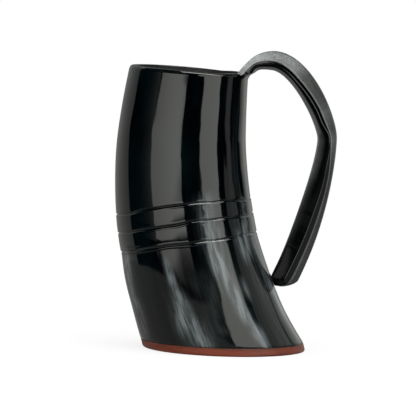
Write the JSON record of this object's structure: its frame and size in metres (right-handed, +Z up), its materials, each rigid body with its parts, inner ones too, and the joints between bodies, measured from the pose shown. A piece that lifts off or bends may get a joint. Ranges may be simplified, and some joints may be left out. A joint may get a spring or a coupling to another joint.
{
  "type": "horn drinking cup",
  "caption": "Handled drinking tankard made from a curved section of horn, with carved bands, a bent horn handle and a wooden disc foot.",
  "frame": {"origin": "centre of the wooden foot's flat underside, on the ground", "axes": "+X towards the handle, +Y to the back as pictured, +Z up"},
  "size_m": [0.1288, 0.09, 0.1747],
  "materials": {
    "horn": "black buffalo horn, polished to a gloss, with faint pale streaks along it low down",
    "handle_horn": "black horn, polished, with sanded matt cut edges that show fine scratches",
    "base_wood": "reddish brown hardwood, oiled, with fine straight grain",
    "glue": "clear brown epoxy",
    "seal_resin": "dark poured food-safe resin, smooth"
  },
  "bodies": {
    "root": {"horn_cup": "horn", "handle": "handle_horn", "wooden_base": "base_wood", "base_glue": "glue", "inner_seal": "seal_resin", "tip_glue": "glue"}
  },
  "joints": []
}
